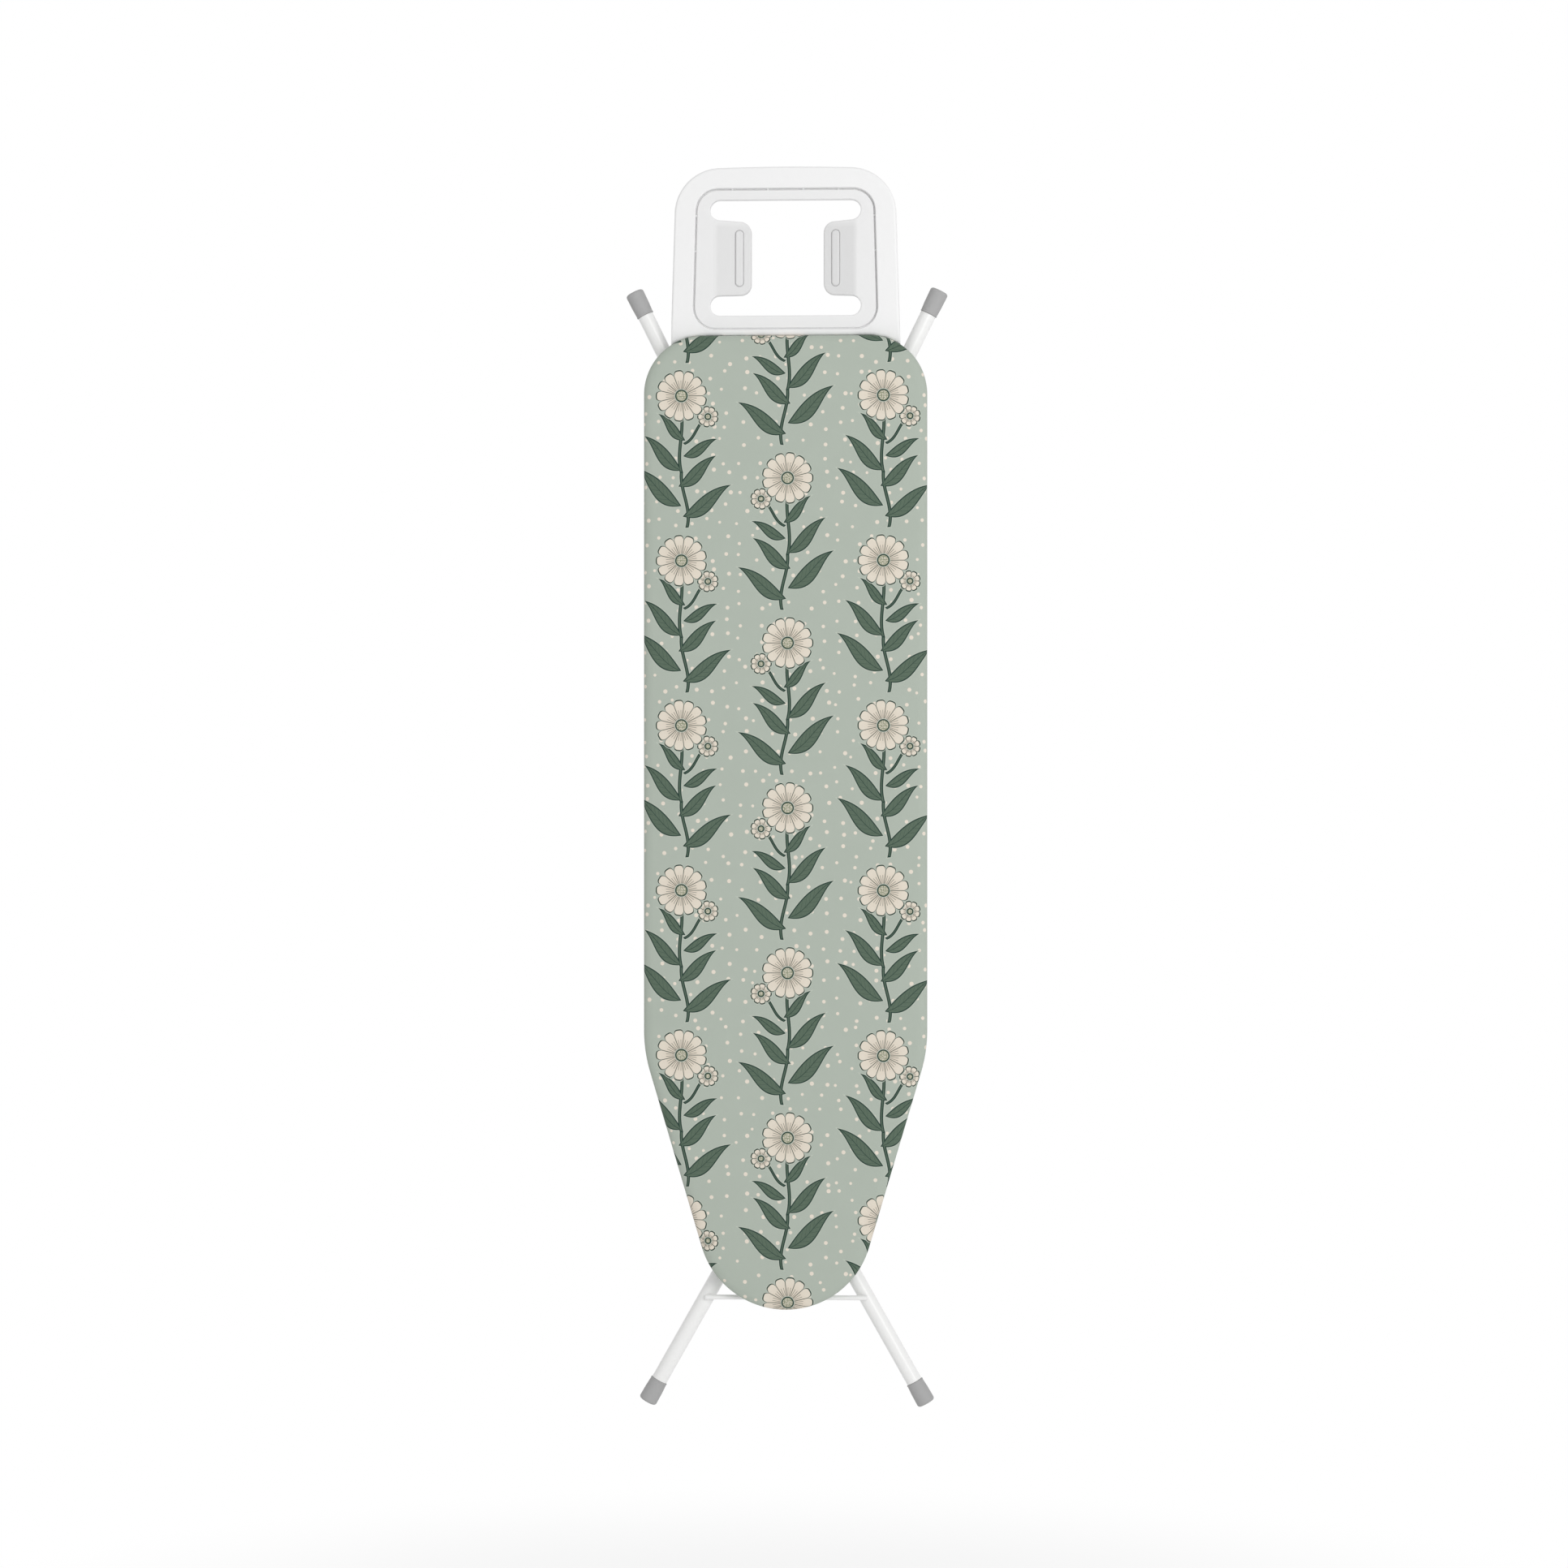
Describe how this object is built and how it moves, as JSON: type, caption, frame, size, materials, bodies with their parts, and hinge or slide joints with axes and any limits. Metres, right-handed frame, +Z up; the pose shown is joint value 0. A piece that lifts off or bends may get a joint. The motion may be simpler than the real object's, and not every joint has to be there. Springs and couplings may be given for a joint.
{
  "type": "ironing board",
  "caption": "Folding ironing board with a tapered padded top, a moulded iron rest at its wide end and crossed tube legs with plug-in feet, folded flat.",
  "frame": {"origin": "middle of the upper edge of the iron rest's opening, by which the folded board hangs on a hook", "axes": "+X across the board, +Y from the ironing surface to the folded legs, +Z up towards the iron rest"},
  "size_m": [0.3614, 0.0491, 1.398],
  "materials": {
    "printed_cotton": "plain-weave printed cotton cover, matte",
    "felt": "needled felt underlay, matte",
    "white_enamel": "white powder coat, satin gloss",
    "white_plastic": "moulded white polypropylene, satin",
    "grey_plastic": "moulded grey plastic, matte",
    "zinc_steel": "bright zinc-plated steel"
  },
  "bodies": {
    "board": {"cover": "printed_cotton", "pad": "felt", "mesh_panel": "white_enamel", "edge_frame": "white_enamel", "iron_rest": "white_plastic", "rest_crossmember": "white_enamel", "rest_strap_left": "white_enamel", "rest_strap_right": "white_enamel", "rest_screw_1": "zinc_steel", "rest_screw_2": "zinc_steel", "rest_screw_3": "zinc_steel", "rest_screw_4": "zinc_steel", "strap_rivet_1": "zinc_steel", "strap_rivet_2": "zinc_steel", "strap_rivet_3": "zinc_steel", "strap_rivet_4": "zinc_steel", "pivot_bracket": "zinc_steel", "height_rack": "zinc_steel", "lever_bracket": "zinc_steel", "lever_pin": "zinc_steel", "lever_spring": "zinc_steel"},
    "lever": {"release_lever": "zinc_steel", "lever_grip": "grey_plastic"},
    "release": {"release_plate": "zinc_steel"},
    "inner_frame": {"inner_tube_left": "white_enamel", "inner_tube_right": "white_enamel", "inner_pivot_rod": "white_enamel", "inner_cross_wire": "white_enamel", "inner_foot_left": "grey_plastic", "inner_foot_right": "grey_plastic"},
    "outer_frame": {"outer_tube_left": "white_enamel", "outer_tube_right": "white_enamel", "slide_bar": "white_enamel", "slide_glide_left": "grey_plastic", "slide_glide_right": "grey_plastic", "outer_cross_wire": "white_enamel", "outer_foot_left": "grey_plastic", "outer_foot_right": "grey_plastic", "pivot_bolt_left": "zinc_steel", "pivot_bolt_right": "zinc_steel", "pivot_spacer_left": "grey_plastic", "pivot_spacer_right": "grey_plastic"}
  },
  "joints": [
    {"name": "inner_fold", "type": "hinge", "parent": "board", "child": "inner_frame", "pos_m": [0, 0.0132, -0.3186], "axis": [1, 0, 0], "range_deg": [0, 52]},
    {"name": "outer_fold", "type": "hinge", "parent": "inner_frame", "child": "outer_frame", "pos_m": [0, 0.0275, -0.7286], "axis": [1, 0, 0], "range_deg": [-104, 0]},
    {"name": "lever_press", "type": "hinge", "parent": "board", "child": "lever", "pos_m": [0.046, 0.0025, -0.9786], "axis": [0, 0, -1], "range_deg": [0, 8], "stiffness_Nm_per_rad": 1.5, "springref_deg": -5.73},
    {"name": "release_lift", "type": "slide", "parent": "board", "child": "release", "axis": [0, 1, 0], "range_m": [0, 0.0057]}
  ],
  "couplings": [
    {"joint": "outer_fold", "follows": "inner_fold", "ratio": -2},
    {"joint": "release_lift", "follows": "lever_press", "m_per_rad": 0.0401}
  ]
}
